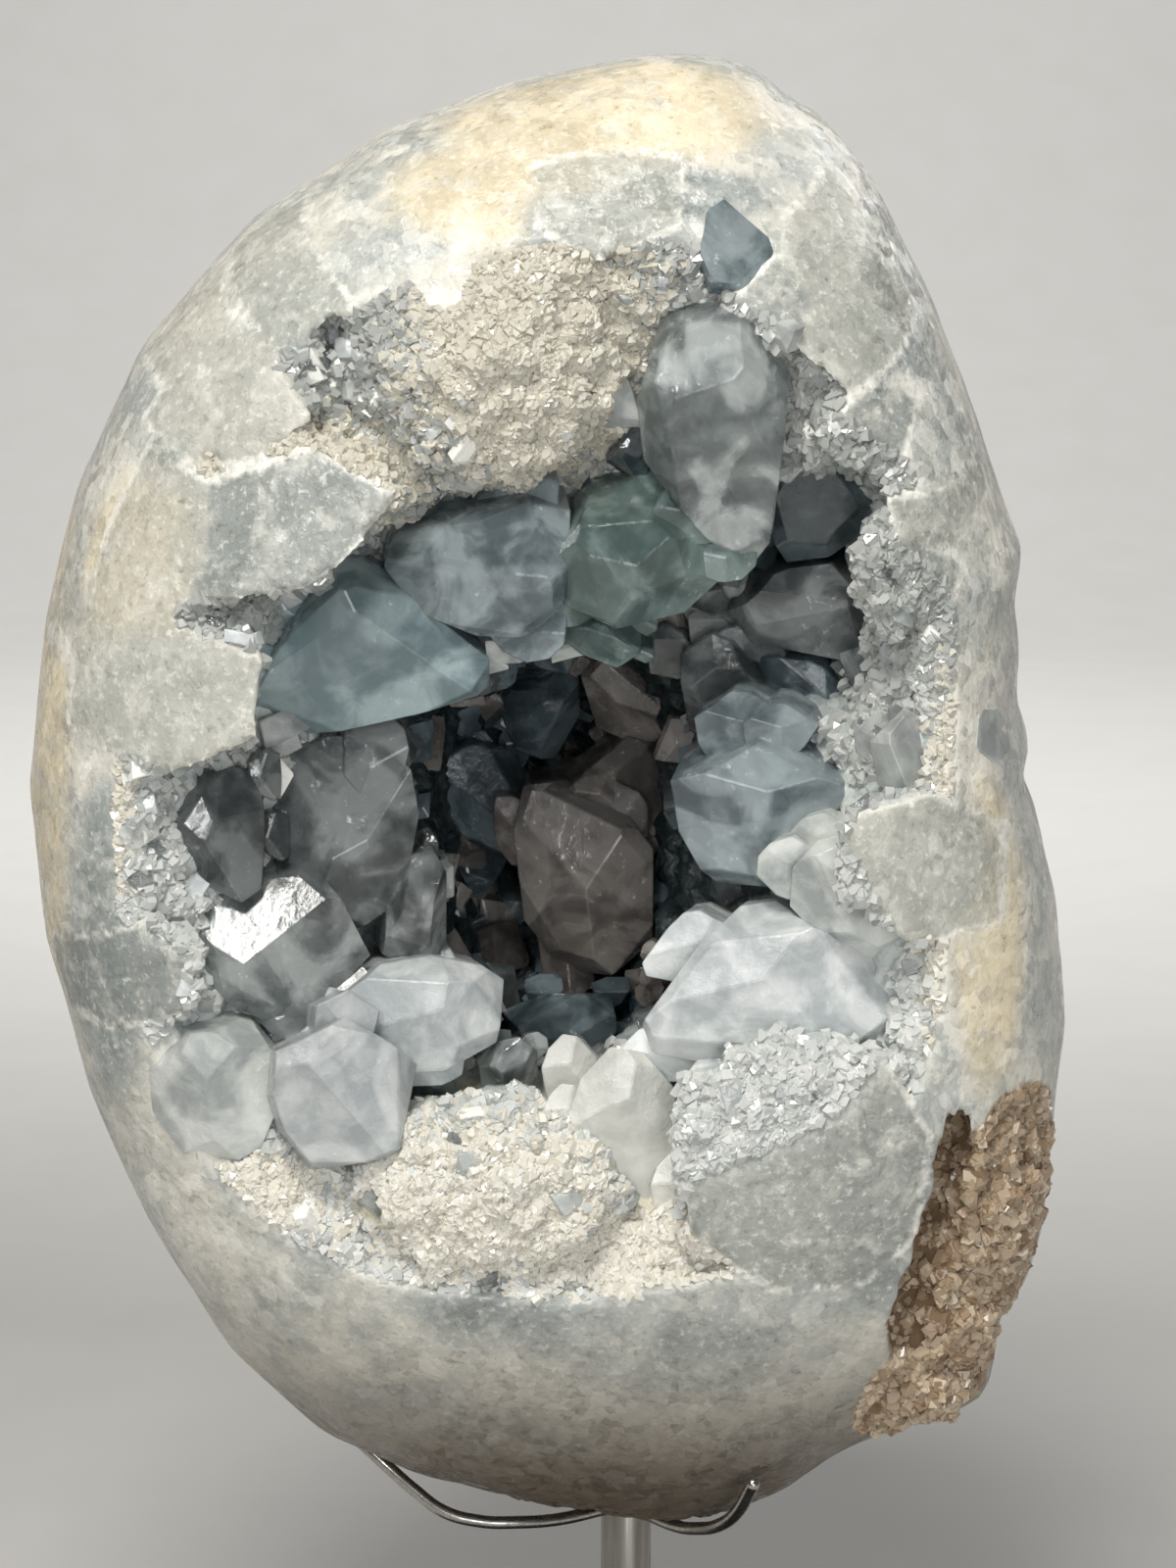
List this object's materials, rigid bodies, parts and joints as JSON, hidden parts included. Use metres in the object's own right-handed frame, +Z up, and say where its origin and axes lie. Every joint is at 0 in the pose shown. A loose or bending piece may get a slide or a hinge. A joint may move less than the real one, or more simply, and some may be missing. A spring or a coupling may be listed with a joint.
{
  "type": "celestite geode",
  "caption": "Celestite geode ground and polished to a tall egg, its hollow full of blue-grey crystals, held upright in a wire cradle on a steel post.",
  "frame": {"origin": "centre of the underside of the base", "axes": "+Z up, -Y out of the mouth of the hollow towards the viewer, +X to the viewer's right"},
  "size_m": [0.1972, 0.159, 0.3661],
  "materials": {
    "polished_matrix": "polished",
    "celestite": "gloss",
    "base_steel": "satin",
    "stand_steel": "satin"
  },
  "bodies": {
    "root": {"geode_shell": "polished_matrix", "crystal_crust": "celestite", "base": "base_steel", "post": "stand_steel", "arm_front_left": "stand_steel", "arm_front_right": "stand_steel", "arm_back_left": "stand_steel", "arm_back_right": "stand_steel"}
  },
  "joints": []
}
